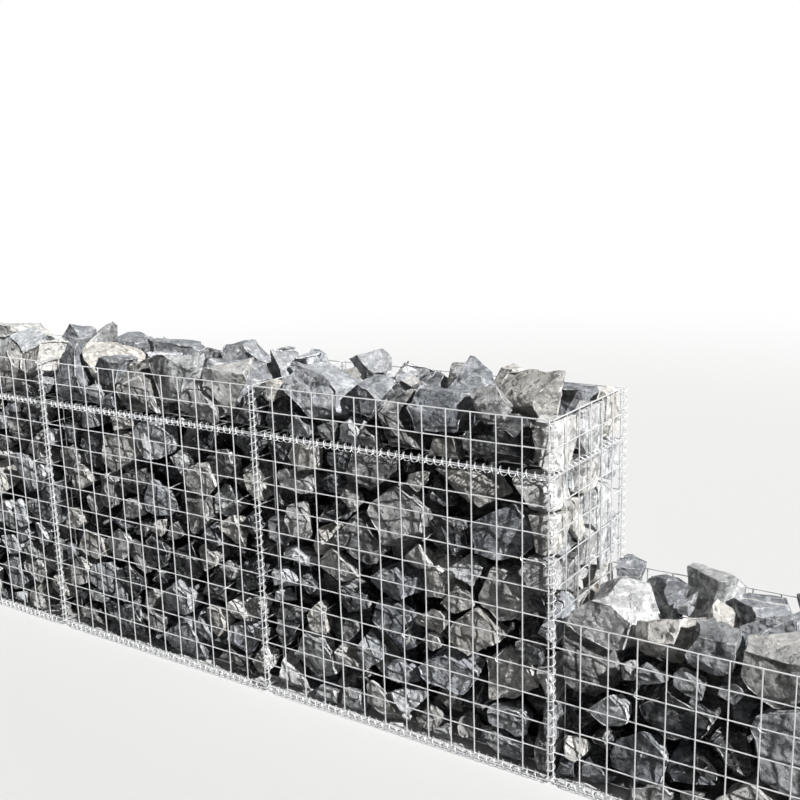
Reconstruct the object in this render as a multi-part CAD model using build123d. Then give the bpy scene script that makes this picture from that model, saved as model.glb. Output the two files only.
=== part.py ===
from build123d import *
import math
import os

os.makedirs("parts", exist_ok=True)

# Layout of the wall: +X runs along it to the low end, -Y is the front, Z = 0 is the ground
tall_bays = 4       # full-height bays, at the -X end
low_bays = 2        # half-height bays, at the +X end
cells_along = 13    # mesh cells along one bay
cells_deep = 6      # mesh cells from front to back
tall_cells = 13     # mesh cells up a tall bay
low_cells = 6       # mesh cells up a low bay
shelf_cells = 2     # mesh cells from a tall bay's rim down to its shelf

# Welded mesh, in millimetres
cell = 75.0         # one mesh cell, wire centre to wire centre
mesh_wire = 4.0     # thickness of a mesh wire
weld_depth = 0.2    # how far two crossing wires sink into each other

# Lacing coils that hold the panels together
coil_wire = 3.0
coil_bore = 21.0
coil_sides = 4      # flats around the coil wire
coil_steps = 6      # straight pieces in one turn
turns_per_cell = 3
lace_clearance = 0.3  # between a laced wire and the coil around it
coil_gap = 2.0      # between the ends of neighbouring coils
base_turn = -73.0   # angle of the base coil where it meets an upright wire, in degrees
coil_tail = 5.0     # a standing coil starts this far below the lowest wire
end_offset = 3.0    # an end panel stands this far outside its corner coils' axes

# Stone fill
side_clearance = 0.4   # fill to mesh
seat_clearance = 0.3   # fill to the mesh under and over it
coil_clearance = 0.5   # fill to coils
bed_drop = 32.0        # the solid bed ends this far below the rim
shoulder_cut = 26.0    # the bed's top edges are cut back by this
stones_along = 5       # heaped stones along one bay
stones_deep = 2
stone_height = 150.0
stone_overlap = 26.0   # neighbouring heaped stones run into each other by this
heap_height = 62.0     # usual height of the heap above the rim
heap_swing = 14.0      # how much the stones' height varies, up and down
stone_cut = 46.0       # facets on the heaped stones
stone_tilt = 7.0       # degrees
stone_turn = 16.0      # degrees

# Worked out from the sizes above
coil_pitch = cell / turns_per_cell
half_step = math.pi / coil_steps
coil_radius = (coil_bore + coil_wire) / 2
coil_corner = coil_radius / math.sqrt(math.cos(half_step))  # axis to the corners of a turn
coil_flat = coil_corner * math.cos(half_step)               # axis to the middles of its straight pieces
coil_reach = coil_corner + coil_wire / 2
coil_room = coil_flat - coil_wire / 2 - lace_clearance
half_wire = mesh_wire / 2
layer_step = mesh_wire - weld_depth  # between the middles of the two layers of wires


def lace_distance(side):
    # From a coil's axis, towards a corner of its turns, to the middle of a wire that stands this far to one side
    return (coil_room - (side + half_wire) * math.sin(half_step)) / math.cos(half_step) - half_wire


lace = lace_distance(0)
flat_lace = coil_room - half_wire  # the same towards the middle of a straight piece
bay_length = cells_along * cell
bay_pitch = bay_length + 2 * lace
half_depth = cells_deep * cell / 2 + flat_lace  # wall centre to the middle of the outer wires
bays = tall_bays + low_bays
wall_start = -bays * bay_pitch / 2

# Heights
base_coil_height = (layer_step + coil_wire) / 2 + coil_flat - coil_wire / 2
lowest_wire = base_coil_height + flat_lace
tall_rim = lowest_wire + tall_cells * cell
low_rim = lowest_wire + low_cells * cell
shelf_height = tall_rim - shelf_cells * cell

# Places of the lying coils and of the shelf and base wires, inward from the middle of the outer wires
shelf_coil_depth = layer_step + lace
shelf_edge_depth = shelf_coil_depth + lace
base_coil_depth = layer_step
shelf_end_depth = shelf_coil_depth + lace_distance(layer_step) - end_offset
lying_coil_start = coil_reach + coil_gap - lace + shelf_coil_depth

# Half sizes of the fill
fill_skin = layer_step + half_wire + side_clearance
fill_half_depth = half_depth - fill_skin
divider_room = layer_step + half_wire + coil_clearance
fill_half_length = bay_pitch / 2 - divider_room


def rows(count):
    return [lowest_wire + cell * i for i in range(count + 1)]


def columns(count):
    return [cell * (i - count / 2) for i in range(count + 1)]


def joint_place(number):
    return wall_start + number * bay_pitch


def bay_place(number):
    return joint_place(number) + bay_pitch / 2


def bay_rim(number):
    return tall_rim if number < tall_bays else low_rim


def save(name, solids):
    export_step(Compound(solids), f"parts/{name}.step", write_pcurves=False)


def turned(solid):
    # The same solid on the other side of the wall
    return Rot(0, 0, 180) * solid


def lattice(up_places, across_places):
    # Square wires in two layers, fused where they cross, with the first layer on the outside
    height = across_places[-1] - across_places[0] + mesh_wire
    width = up_places[-1] - up_places[0] + mesh_wire
    middle_height = (across_places[-1] + across_places[0]) / 2
    middle_width = (up_places[-1] + up_places[0]) / 2
    wires = [Pos(place, middle_height, 0) * Box(mesh_wire, height, mesh_wire) for place in up_places]
    for place in across_places:
        wires.append(Pos(middle_width, place, -layer_step) * Box(width, mesh_wire, mesh_wire))
    return wires[0].fuse(*wires[1:]).solids()[0]


def facing(place, across, outward):
    return Plane(origin=place, x_dir=across, z_dir=outward).location


def front_panel(number, panel):
    return facing((bay_place(number), -half_depth, 0), (1, 0, 0), (0, -1, 0)) * panel


def back_panel(number, panel):
    return facing((bay_place(number), half_depth, 0), (-1, 0, 0), (0, 1, 0)) * panel


def cross_panel(number, panel):
    # A panel from front to back at a joint: the wall's ends and the step stand outside their coils
    if number == 0:
        return facing((joint_place(number) - end_offset, 0, 0), (0, -1, 0), (-1, 0, 0)) * panel
    offset = end_offset if number in (tall_bays, bays) else layer_step / 2
    return facing((joint_place(number) + offset, 0, 0), (0, 1, 0), (1, 0, 0)) * panel


def lying_panel(number, height, panel):
    return facing((bay_place(number), 0, height), (1, 0, 0), (0, 0, -1)) * panel


def coil(place, start, end, mark, mark_angle):
    # A coil along the place's Z, from start to end, whose turn stands at mark_angle where Z is mark
    def steps_at(height):
        return (mark_angle / 360 + (height - mark) / coil_pitch) * coil_steps

    corners = []
    for step in range(math.ceil(steps_at(start)), math.floor(steps_at(end)) + 1):
        angle = 2 * half_step * step
        height = mark + coil_pitch * (step / coil_steps - mark_angle / 360)
        corners.append((coil_corner * math.cos(angle), coil_corner * math.sin(angle), height))
    path = Polyline(*corners)
    section = Plane(origin=path @ 0, z_dir=path % 0) * RegularPolygon(coil_wire / 2, coil_sides)
    return place * sweep(section, path=path, transition=Transition.RIGHT)


def standing_coil(rim):
    # At the front of a joint, where its turns pass in front of each row of wires
    place = Pos(0, -half_depth, 0)
    return coil(place, lowest_wire - coil_tail, rim + half_wire, lowest_wire, -90)


def lying_coil(depth, height, mark_angle):
    # Along the front of one bay: angle 0 points into the wall
    place = facing((0, -half_depth + depth, height), (0, 1, 0), (1, 0, 0))
    reach = bay_length / 2 - lying_coil_start
    return coil(place, -reach, reach, -bay_length / 2, mark_angle)


def along_bays(numbers, solid):
    return [Pos(bay_place(number), 0, 0) * solid for number in numbers]


def shelf_end_coil(number):
    # Across the +X end of a tall bay, where its turns pass midway between the end panel's upright wires
    place = facing((joint_place(number) + end_offset - shelf_coil_depth, 0, shelf_height), (-1, 0, 0), (0, 1, 0))
    reach = half_depth - shelf_coil_depth - coil_reach - coil_gap
    return coil(place, -reach, reach, -cells_deep * cell / 2, 0)


def cut_outline(half_width, low, high, low_cut, high_cut):
    # A rectangle from low to high with its corners cut off
    right = [
        (half_width - low_cut, low),
        (half_width, low + low_cut),
        (half_width, high - high_cut),
        (half_width - high_cut, high),
    ]
    left = [(-x, y) for x, y in reversed(right)]
    return Polygon(*right, *left, align=None)


def cut_block(half_length, half_width, low, high, side_cuts, end_cuts, corner_cut):
    # A block whose foot and head are cut by side_cuts along X and by end_cuts along Y
    side_view = extrude(Plane.YZ * cut_outline(half_width, low, high, *side_cuts), half_length, both=True)
    end_view = extrude(Plane.XZ * cut_outline(half_length, low, high, *end_cuts), half_width, both=True)
    plan = cut_outline(half_length, -half_width, half_width, corner_cut, corner_cut)
    return side_view & end_view & (Pos(0, 0, low) * extrude(plan, high - low))


def coil_cut(first, second):
    # Corner cut that clears a coil whose axis lies this far inside the two faces
    return math.sqrt(2) * (coil_reach + coil_clearance) + first + second


fill_foot = layer_step + mesh_wire + seat_clearance
shelf_underside = layer_step + half_wire + seat_clearance
shelf_topside = half_wire + seat_clearance
shelf_side = shelf_coil_depth - fill_skin
shelf_end = shelf_coil_depth - end_offset - divider_room
corner_cut = coil_cut(-divider_room, -fill_skin)
foot_cut = coil_cut(base_coil_depth - fill_skin, base_coil_height - fill_foot)


def swing(number, turn):
    # An even spread of values from -1 to 1, without a pattern that shows
    return math.sin(2.4 * number + 1.7 * turn + 0.6 * number * turn)


def heap(rim, seed):
    # Big faceted stones in rows on the bed
    length = 2 * fill_half_length / stones_along
    width = 2 * fill_half_depth / stones_deep
    stones = []
    for i in range(stones_along):
        for j in range(stones_deep):
            number = seed + i * stones_deep + j
            grow = 1 + 0.08 * swing(number, 3)
            top = rim + heap_height + heap_swing * swing(number, 1)
            stone = cut_block(
                (length * grow + stone_overlap) / 2,
                (width + stone_overlap) / 2,
                -stone_height / 2,
                stone_height / 2,
                (stone_cut, stone_cut * (1 + 0.3 * swing(number, 2))),
                (stone_cut, stone_cut * (1 + 0.3 * swing(number, 5))),
                stone_cut,
            )
            tilt = Rot(stone_tilt * swing(number, 4), stone_tilt * swing(number, 6), stone_turn * swing(number, 7))
            x = length * (i + 0.5) - fill_half_length
            y = width * (j + 0.5) - fill_half_depth
            stones.append(Pos(x, y, top - stone_height / 2) * tilt * stone)
    return stones


def heaped_fill(number, low, side_cut, end_cut):
    # The bed up to just below the rim, and the heap on it, kept inside the mesh
    rim = bay_rim(number)
    bed = cut_block(fill_half_length, fill_half_depth, low, rim - bed_drop,
                    (side_cut, shoulder_cut), (end_cut, shoulder_cut), corner_cut)
    stones = heap(rim, number * stones_along * stones_deep)
    cage_plan = cut_outline(fill_half_length, -fill_half_depth, fill_half_depth, corner_cut, corner_cut)
    cage = Pos(0, 0, low) * extrude(cage_plan, rim + stone_height - low)
    fill = bed.fuse(*stones) & cage
    return Pos(bay_place(number), 0, 0) * fill.solids()[0]


# Side panels of each bay
tall_side = lattice(columns(cells_along), rows(tall_cells))
low_side = lattice(columns(cells_along), rows(low_cells))
for number in range(bays):
    side = tall_side if number < tall_bays else low_side
    save(f"front_mesh_{number + 1}", [front_panel(number, side)])
    save(f"back_mesh_{number + 1}", [back_panel(number, side)])

# Panels across the wall: the ends, the step and the dividers between bays
tall_cross = lattice(columns(cells_deep), rows(tall_cells))
low_cross = lattice(columns(cells_deep), rows(low_cells))
save("left_end_mesh", [cross_panel(0, tall_cross)])
for number in range(1, tall_bays):
    save(f"divider_mesh_{number}", [cross_panel(number, tall_cross)])
save("step_mesh", [cross_panel(tall_bays, tall_cross)])
for number in range(tall_bays + 1, bays):
    save(f"divider_mesh_{number}", [cross_panel(number, low_cross)])
save("right_end_mesh", [cross_panel(bays, low_cross)])

# Base panels: the cross wires lie on the ground at mid-cell, under the long wires
mid_cells = [place + cell / 2 for place in columns(cells_along)[:-1]]
base_half_depth = half_depth - base_coil_depth
base_half_length = bay_length / 2 - half_wire
base_long = [base_half_depth * (2 * i / cells_deep - 1) for i in range(cells_deep + 1)]
base_panel = lattice([-base_half_length, *mid_cells, base_half_length], base_long)
save("base_mesh_tall", [lying_panel(number, half_wire, base_panel) for number in range(tall_bays)])
save("base_mesh_low", [lying_panel(number, half_wire, base_panel) for number in range(tall_bays, bays)])

# Shelves in the tall bays: cut to fit, so the last cell from the front is narrow
shelf_half_depth = half_depth - shelf_edge_depth
shelf_half_length = bay_pitch / 2 - shelf_end_depth
shelf_long = [shelf_half_depth - cell * i for i in range(cells_deep)]
shelf_long = [-shelf_half_depth, *reversed(shelf_long)]
shelf_panel = lattice([-shelf_half_length, *mid_cells, shelf_half_length], shelf_long)
save("shelf_mesh", [lying_panel(number, shelf_height - layer_step, shelf_panel) for number in range(tall_bays)])

# Standing coils, front and back, at each joint and end
tall_coil = standing_coil(tall_rim)
low_coil = standing_coil(low_rim)
for number in range(bays + 1):
    joint_coil = tall_coil if number <= tall_bays else low_coil
    pair = [joint_coil, turned(joint_coil)]
    save(f"joint_coil_{number + 1}", [Pos(joint_place(number), 0, 0) * solid for solid in pair])

# Lying coils along the shelf and the base
shelf_coil = lying_coil(shelf_coil_depth, shelf_height, 0)
save("shelf_coils_front", along_bays(range(tall_bays), shelf_coil))
save("shelf_coils_back", along_bays(range(tall_bays), turned(shelf_coil)))
step_end = shelf_end_coil(tall_bays)
left_end = Pos(joint_place(0) + joint_place(tall_bays), 0, 0) * turned(step_end)
save("shelf_coils_ends", [left_end, step_end])
base_coil = lying_coil(base_coil_depth, base_coil_height, base_turn)
save("base_coils_front", along_bays(range(bays), base_coil))
save("base_coils_back", along_bays(range(bays), turned(base_coil)))

# Stone fill: under the shelves, over them, and in the low bays
lower_fill = cut_block(
    fill_half_length,
    fill_half_depth,
    fill_foot,
    shelf_height - shelf_underside,
    (foot_cut, coil_cut(shelf_side, -shelf_underside)),
    (corner_cut, coil_cut(shelf_end, -shelf_underside)),
    corner_cut,
)
for number in range(tall_bays):
    save(f"lower_fill_{number + 1}", [Pos(bay_place(number), 0, 0) * lower_fill])
    upper = heaped_fill(number, shelf_height + shelf_topside,
                        coil_cut(shelf_side, -shelf_topside), coil_cut(shelf_end, -shelf_topside))
    save(f"upper_fill_{number + 1}", [upper])
for number in range(tall_bays, bays):
    save(f"low_fill_{number - tall_bays + 1}", [heaped_fill(number, fill_foot, foot_cut, corner_cut)])
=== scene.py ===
import math
import random

import bmesh
import bpy
from mathutils import Matrix, Quaternion, Vector, geometry, kdtree, noise


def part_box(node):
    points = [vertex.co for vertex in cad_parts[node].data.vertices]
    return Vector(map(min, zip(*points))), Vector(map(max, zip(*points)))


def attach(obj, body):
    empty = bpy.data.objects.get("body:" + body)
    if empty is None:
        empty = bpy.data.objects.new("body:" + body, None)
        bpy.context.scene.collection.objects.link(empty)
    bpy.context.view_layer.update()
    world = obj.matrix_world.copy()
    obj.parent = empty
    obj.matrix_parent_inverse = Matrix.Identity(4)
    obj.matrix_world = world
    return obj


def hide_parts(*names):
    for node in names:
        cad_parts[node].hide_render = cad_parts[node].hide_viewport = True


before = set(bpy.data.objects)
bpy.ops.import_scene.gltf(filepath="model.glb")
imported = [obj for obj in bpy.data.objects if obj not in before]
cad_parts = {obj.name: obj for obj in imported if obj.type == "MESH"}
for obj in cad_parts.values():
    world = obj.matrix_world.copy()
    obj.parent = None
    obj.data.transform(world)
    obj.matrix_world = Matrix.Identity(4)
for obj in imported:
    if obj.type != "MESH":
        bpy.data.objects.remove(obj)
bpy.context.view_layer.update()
print("frame loaded:", len(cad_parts), "nodes")


# The wall's layout, read from the frame
layout = {
    "cell": 0.075,        # one mesh cell
    "meshWire": 0.004,    # thickness of a mesh wire
    "coilWire": 0.003,
    "turnsPerCell": 3,
}
wireRadius = layout["meshWire"] / 2
coilPitch = layout["cell"] / layout["turnsPerCell"]


def nodesNamed(start):
    found = [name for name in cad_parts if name.startswith(start)]
    return sorted(found, key=lambda name: (len(name), name))


frontNodes = nodesNamed("front_mesh_")
backNodes = nodesNamed("back_mesh_")
dividerNodes = nodesNamed("divider_mesh_")
coilNodes = nodesNamed("joint_coil_")
bayBoxes = [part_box(name) for name in frontNodes]
bayCentres = [(low.x + high.x) / 2 for low, high in bayBoxes]
bayRims = [high.z - wireRadius for low, high in bayBoxes]
tallBays = sum(rim > max(bayRims) - layout["cell"] for rim in bayRims)
outerFace = -bayBoxes[0][0].y - wireRadius       # wall centre to the middle of the outer wires
innerFace = -bayBoxes[0][1].y                    # wall centre to the inside of the mesh
lowestWire = bayBoxes[0][0].z + wireRadius
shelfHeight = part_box("shelf_mesh")[1].z - wireRadius
jointPlaces = [sum(corner.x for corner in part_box(name)) / 2 for name in coilNodes]


# Helpers for node trees and materials
def socketNamed(tree, name):
    return next(item.identifier for item in tree.interface.items_tree
                if item.item_type == "SOCKET" and item.in_out == "INPUT" and item.name == name)


def startTree(name, values):
    # Its inputs are named and typed after these values
    tree = bpy.data.node_groups.new(name, "GeometryNodeTree")
    tree.interface.new_socket("Geometry", in_out="INPUT", socket_type="NodeSocketGeometry")
    for key, value in values.items():
        kind = {int: "NodeSocketInt", tuple: "NodeSocketVector"}.get(type(value), "NodeSocketFloat")
        tree.interface.new_socket(key, in_out="INPUT", socket_type=kind)
    tree.interface.new_socket("Geometry", in_out="OUTPUT", socket_type="NodeSocketGeometry")
    return tree, tree.nodes.new("NodeGroupInput"), tree.nodes.new("NodeGroupOutput")


def feed(tree, node, **inputs):
    # Inputs named with an underscore and a number go to the socket with that number
    for key, value in inputs.items():
        socket = node.inputs[int(key[1:])] if key[0] == "_" else node.inputs[key.replace("_", " ")]
        if isinstance(value, bpy.types.NodeSocket):
            tree.links.new(value, socket)
        else:
            socket.default_value = value


def addNode(tree, kind, settings=None, **inputs):
    node = tree.nodes.new(kind)
    for key, value in (settings or {}).items():
        setattr(node, key, value)
    feed(tree, node, **inputs)
    return node


def mathNode(tree, operation, first, second=0.0):
    return addNode(tree, "ShaderNodeMath", {"operation": operation}, _0=first, _1=second).outputs[0]


def vectorNode(tree, operation, first, second=(0.0, 0.0, 0.0)):
    return addNode(tree, "ShaderNodeVectorMath", {"operation": operation}, _0=first, _1=second).outputs[0]


def scaledNode(tree, vector, scale):
    settings = {"operation": "SCALE"}
    return addNode(tree, "ShaderNodeVectorMath", settings, _0=vector, Scale=scale).outputs[0]


def blendNode(tree, first, firstWeight, second, secondWeight):
    # The weighted sum of two values
    return mathNode(tree, "ADD", mathNode(tree, "MULTIPLY", first, firstWeight),
                    mathNode(tree, "MULTIPLY", second, secondWeight))


def rangeNode(tree, value, fromLow, fromHigh, toLow=0.0, toHigh=1.0):
    return addNode(tree, "ShaderNodeMapRange", {"interpolation_type": "SMOOTHSTEP"}, _0=value,
                   _1=fromLow, _2=fromHigh, _3=toLow, _4=toHigh).outputs[0]


def mixColour(tree, share, first, second, blend="MIX"):
    settings = {"data_type": "RGBA", "blend_type": blend}
    first, second = ((*value, 1.0) if isinstance(value, tuple) else value for value in (first, second))
    return addNode(tree, "ShaderNodeMix", settings, _0=share, _6=first, _7=second).outputs[2]


def startMaterial(name):
    material = bpy.data.materials.new(name)
    material.use_nodes = True
    tree = material.node_tree
    tree.nodes.clear()
    shader = tree.nodes.new("ShaderNodeBsdfPrincipled")
    output = tree.nodes.new("ShaderNodeOutputMaterial")
    tree.links.new(shader.outputs[0], output.inputs[0])
    return material, tree, shader, tree.nodes.new("ShaderNodeTexCoord").outputs["Object"]


def noiseNode(tree, vector, scale, detail=4.0, roughness=0.5, distortion=0.0, output="Fac"):
    return addNode(tree, "ShaderNodeTexNoise", Vector=vector, Scale=scale, Detail=detail,
                   Roughness=roughness, Distortion=distortion).outputs[output]


def attributeNode(tree, name):
    return addNode(tree, "ShaderNodeAttribute", {"attribute_name": name}).outputs["Fac"]


# Broken blue-grey limestone: each stone has its own tone, with painted shade on the stones deep inside and
# painted light on those on top and against the end panels; paler on scuffed edges, with calcite in some
limestone = {
    "dark": (0.040, 0.043, 0.049),
    "middle": (0.360, 0.365, 0.373),
    "pale": (0.740, 0.740, 0.734),
    "scuffed": (0.820, 0.821, 0.817),
    "calcite": (0.820, 0.815, 0.800),
    "stain": (0.520, 0.450, 0.350),
    "cool": (0.945, 0.985, 1.040),   # tints, from stone to stone
    "warm": (1.055, 1.008, 0.925),
    "toneWeight": 0.50,              # what a stone's own tone and its blotches give to its shade
    "blotchWeight": 0.80,
    "darkToMiddle": (0.36, 0.66),    # shades between which one colour turns into the next
    "middleToPale": (0.56, 0.92),
    "chipShade": 0.60,               # shade of the darkest chip on a stone
    "chipStrength": 0.7,
    "cloudWeight": 0.55,             # and what clouds and streaks give to the blotches
    "streakWeight": 0.50,
    "cloudScale": 14.0,              # all scales are in turns to the metre
    "streakScale": 16.0,
    "streakStretch": (1.0, 1.0, 4.5),
    "grainScale": 170.0,
    "grainDark": (0.30, 0.30, 0.31),
    "stainScale": 5.0,
    "veinScale": 5.5,
    "veinWidth": 0.022,              # in turns of the vein scale
    "veinBend": 0.12,                # in metres
    "patchScale": 8.0,
    "scuffScale": 27.0,
    "edgeScale": 60.0,
    "bigFacets": (26.0, 0.50),       # cells to the metre, and how steep they are
    "smallFacets": (72.0, 0.75),
    "facetBend": 0.022,
    "stepScale": 48.0,
    "stepDepth": 0.007,
    "grainDepth": 0.0014,
    "shine": 0.06,
}


def facetNodes(tree, place, scale, slope):
    # Flat broken facets: each cell is a plane with a slope and a shade of its own
    cells = addNode(tree, "ShaderNodeTexVoronoi", Vector=place, Scale=scale)
    way = vectorNode(tree, "SUBTRACT", cells.outputs["Color"], (0.5, 0.5, 0.5))
    offset = vectorNode(tree, "SUBTRACT", place, cells.outputs["Position"])
    rise = addNode(tree, "ShaderNodeVectorMath", {"operation": "DOT_PRODUCT"}, _0=offset, _1=way)
    shade = addNode(tree, "ShaderNodeSeparateColor", _0=cells.outputs["Color"])
    return mathNode(tree, "MULTIPLY", rise.outputs["Value"], slope), shade.outputs[0]


def makeLimestone():
    material, tree, shader, place = startMaterial("broken_limestone")
    # The stones' tone: random from stone to stone, with painted shade on the stones deep inside and painted
    # light on those on top and against the end panels
    tone = attributeNode(tree, "stoneToneAndPaintedLight")
    wear = attributeNode(tree, "edgeWear")
    cloud = noiseNode(tree, place, limestone["cloudScale"], 4.0, 0.62, 0.4)
    grain = noiseNode(tree, place, limestone["grainScale"], 2.0, 0.7)
    bedding = addNode(tree, "ShaderNodeMapping", _0=place, Rotation=(0.5, 0.9, 0.3),
                      Scale=limestone["streakStretch"])
    streak = noiseNode(tree, bedding.outputs[0], limestone["streakScale"], 4.0, 0.68, 0.5)
    blotch = blendNode(tree, cloud, limestone["cloudWeight"], streak, limestone["streakWeight"])
    shade = blendNode(tree, tone, limestone["toneWeight"], blotch, limestone["blotchWeight"])
    middleShare = rangeNode(tree, shade, *limestone["darkToMiddle"])
    paleShare = rangeNode(tree, shade, *limestone["middleToPale"])
    dusk = mixColour(tree, middleShare, limestone["dark"], limestone["middle"])
    stone = mixColour(tree, paleShare, dusk, limestone["pale"])
    chance = addNode(tree, "ShaderNodeTexWhiteNoise", {"noise_dimensions": "1D"}, W=tone).outputs["Value"]
    tint = mixColour(tree, chance, limestone["cool"], limestone["warm"])
    stone = mixColour(tree, 1.0, stone, tint, "MULTIPLY")

    # Rusty stains and calcite veins on some stones only
    stains = rangeNode(tree, noiseNode(tree, place, limestone["stainScale"], 3.0), 0.60, 0.72, 0.0, 0.55)
    stainMask = mathNode(tree, "MULTIPLY", stains, rangeNode(tree, tone, 0.55, 0.8))
    stone = mixColour(tree, stainMask, stone, limestone["stain"])
    bend = noiseNode(tree, place, 6.0, 2.0, output="Color")
    bent = vectorNode(tree, "ADD", place, scaledNode(tree, bend, limestone["veinBend"]))
    crack = addNode(tree, "ShaderNodeTexVoronoi", {"feature": "DISTANCE_TO_EDGE"},
                    Vector=bent, Scale=limestone["veinScale"]).outputs["Distance"]
    someStones = rangeNode(tree, noiseNode(tree, place, 3.2, 2.0), 0.57, 0.62)
    line = rangeNode(tree, crack, 0.0, limestone["veinWidth"], 0.85, 0.0)
    vein = mathNode(tree, "MULTIPLY", line, someStones)
    patch = noiseNode(tree, place, limestone["patchScale"], 3.0, 0.6, 0.8)
    patch = rangeNode(tree, patch, 0.68, 0.72, 0.0, 0.8)
    stone = mixColour(tree, mathNode(tree, "MAXIMUM", vein, patch), stone, limestone["calcite"])

    # Scuffs along the edges and crushed dust in the grain
    chipped = rangeNode(tree, noiseNode(tree, place, limestone["edgeScale"], 2.0, 0.65), 0.36, 0.62)
    wornEdge = mathNode(tree, "MULTIPLY", mathNode(tree, "MULTIPLY", wear, chipped), 0.8)
    scuffs = noiseNode(tree, place, limestone["scuffScale"], 5.0, 0.72, 0.7)
    scuffs = rangeNode(tree, scuffs, 0.56, 0.66, 0.0, 0.55)
    stone = mixColour(tree, mathNode(tree, "MAXIMUM", wornEdge, scuffs), stone, limestone["scuffed"])
    dust = mixColour(tree, grain, limestone["grainDark"], (1.0, 1.0, 1.0))
    stone = mixColour(tree, 0.7, stone, dust, "SOFT_LIGHT")

    # Two sizes of facets with ragged borders, darker and paler than the stone
    ragged = noiseNode(tree, place, 34.0, 1.0, output="Color")
    broken = vectorNode(tree, "ADD", place, scaledNode(tree, ragged, limestone["facetBend"]))
    bigRise, bigShade = facetNodes(tree, broken, *limestone["bigFacets"])
    smallRise, smallShade = facetNodes(tree, broken, *limestone["smallFacets"])
    darkest = (limestone["chipShade"],) * 3
    palest = (2 - limestone["chipShade"],) * 3
    for facetShade in (smallShade, bigShade):
        mottled = mixColour(tree, facetShade, darkest, palest)
        stone = mixColour(tree, limestone["chipStrength"], stone, mottled, "MULTIPLY")

    # Fracture steps, then pits and grain, all in metres
    step = noiseNode(tree, place, limestone["stepScale"], 4.0, 0.66)
    height = blendNode(tree, step, limestone["stepDepth"], grain, limestone["grainDepth"])
    height = mathNode(tree, "ADD", height, mathNode(tree, "ADD", bigRise, smallRise))
    bump = addNode(tree, "ShaderNodeBump", Height=height, Strength=1.0, Distance=1.0)
    feed(tree, shader, Base_Color=stone, Roughness=rangeNode(tree, cloud, 0.3, 0.7, 0.72, 0.95),
         Specular_IOR_Level=limestone["shine"], Normal=bump.outputs[0])
    return material


# Galvanised wire, with the faint spangle and dulling of zinc left outdoors
zinc = {
    "bright": (0.93, 0.935, 0.94),
    "dull": (0.66, 0.675, 0.69),
    "spangleScale": 420.0,
    "spangleShare": 0.18,      # how much a spangle's shade counts beside the dulling
    "spangleBump": 0.12,
    "dullScale": 22.0,
    "roughness": (0.30, 0.52),
    "metallic": 0.60,
}


def makeZinc(name, dulling):
    material, tree, shader, place = startMaterial(name)
    spangle = addNode(tree, "ShaderNodeTexVoronoi", Vector=place, Scale=zinc["spangleScale"])
    facet = addNode(tree, "ShaderNodeSeparateColor", _0=spangle.outputs["Color"]).outputs[0]
    weather = noiseNode(tree, place, zinc["dullScale"], 5.0, 0.6)
    weathered = rangeNode(tree, weather, 0.35, 0.75)
    share = blendNode(tree, weathered, dulling, facet, zinc["spangleShare"])
    colour = mixColour(tree, share, zinc["bright"], zinc["dull"])
    roughness = rangeNode(tree, weather, 0.3, 0.8, *zinc["roughness"])
    bump = addNode(tree, "ShaderNodeBump", Height=facet, Strength=zinc["spangleBump"], Distance=0.0004)
    feed(tree, shader, Base_Color=colour, Roughness=roughness, Metallic=zinc["metallic"],
         Normal=bump.outputs[0])
    return material


stoneMaterial = makeLimestone()
meshMaterial = makeZinc("galvanised_mesh", 0.55)
coilMaterial = makeZinc("galvanised_coil", 0.80)
print("materials made")


# Drawn wire along the edges of a mesh, bowed a little where it is free to give
drawnWire = {
    "Wire Radius": wireRadius,
    "Sides": 6,
    "Bow": (0.0035, 0.0060, 0.0035),   # metres, along each axis
    "Wave Scale": 5.0,
    "Seed": 3.0,
}


def wrapWire(tree, source, result, curve, material):
    # Round wire along a curve, as real mesh in its material
    section = addNode(tree, "GeometryNodeCurvePrimitiveCircle",
                      Resolution=source.outputs["Sides"], Radius=source.outputs["Wire Radius"])
    solid = addNode(tree, "GeometryNodeCurveToMesh", Curve=curve.outputs[0],
                    Profile_Curve=section.outputs[0], Fill_Caps=True)
    smooth = addNode(tree, "GeometryNodeSetShadeSmooth", Geometry=solid.outputs[0])
    real = addNode(tree, "GeometryNodeRealizeInstances", Geometry=smooth.outputs[0])
    dressed = addNode(tree, "GeometryNodeSetMaterial", Geometry=real.outputs[0], Material=material)
    feed(tree, result, _0=dressed.outputs[0])


def waveNode(tree, source, **inputs):
    # A smooth random vector from place to place, about nought
    wave = addNode(tree, "ShaderNodeTexNoise", {"noise_dimensions": "4D"}, Detail=1.0,
                   Scale=source.outputs["Wave Scale"], W=source.outputs["Seed"], **inputs)
    return vectorNode(tree, "SUBTRACT", wave.outputs["Color"], (0.5, 0.5, 0.5))


def makeWireTree(name, material):
    tree, source, result = startTree(name, drawnWire)
    give = addNode(tree, "GeometryNodeInputNamedAttribute", {"data_type": "FLOAT"}, Name="give")
    bow = vectorNode(tree, "MULTIPLY", waveNode(tree, source), source.outputs["Bow"])
    bow = scaledNode(tree, bow, give.outputs["Attribute"])
    bent = addNode(tree, "GeometryNodeSetPosition", Geometry=source.outputs["Geometry"], Offset=bow)
    line = addNode(tree, "GeometryNodeMeshToCurve", Mesh=bent.outputs[0])
    wrapWire(tree, source, result, line, material)
    return tree


def placed(name, data):
    # A new object with this data, in the scene
    thing = bpy.data.objects.new(name, data)
    bpy.context.scene.collection.objects.link(thing)
    return thing


def grown(name, mesh, tree, values):
    # A plain mesh object from a tree run on this mesh with these input values
    piece = placed(name, mesh)
    modifier = piece.modifiers.new(name, "NODES")
    modifier.node_group = tree
    for key, value in values.items():
        modifier[socketNamed(tree, key)] = value
    depsgraph = bpy.context.evaluated_depsgraph_get()
    result = bpy.data.meshes.new_from_object(piece.evaluated_get(depsgraph))
    piece.modifiers.remove(modifier)
    piece.data = result
    result.name = name
    return piece


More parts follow.
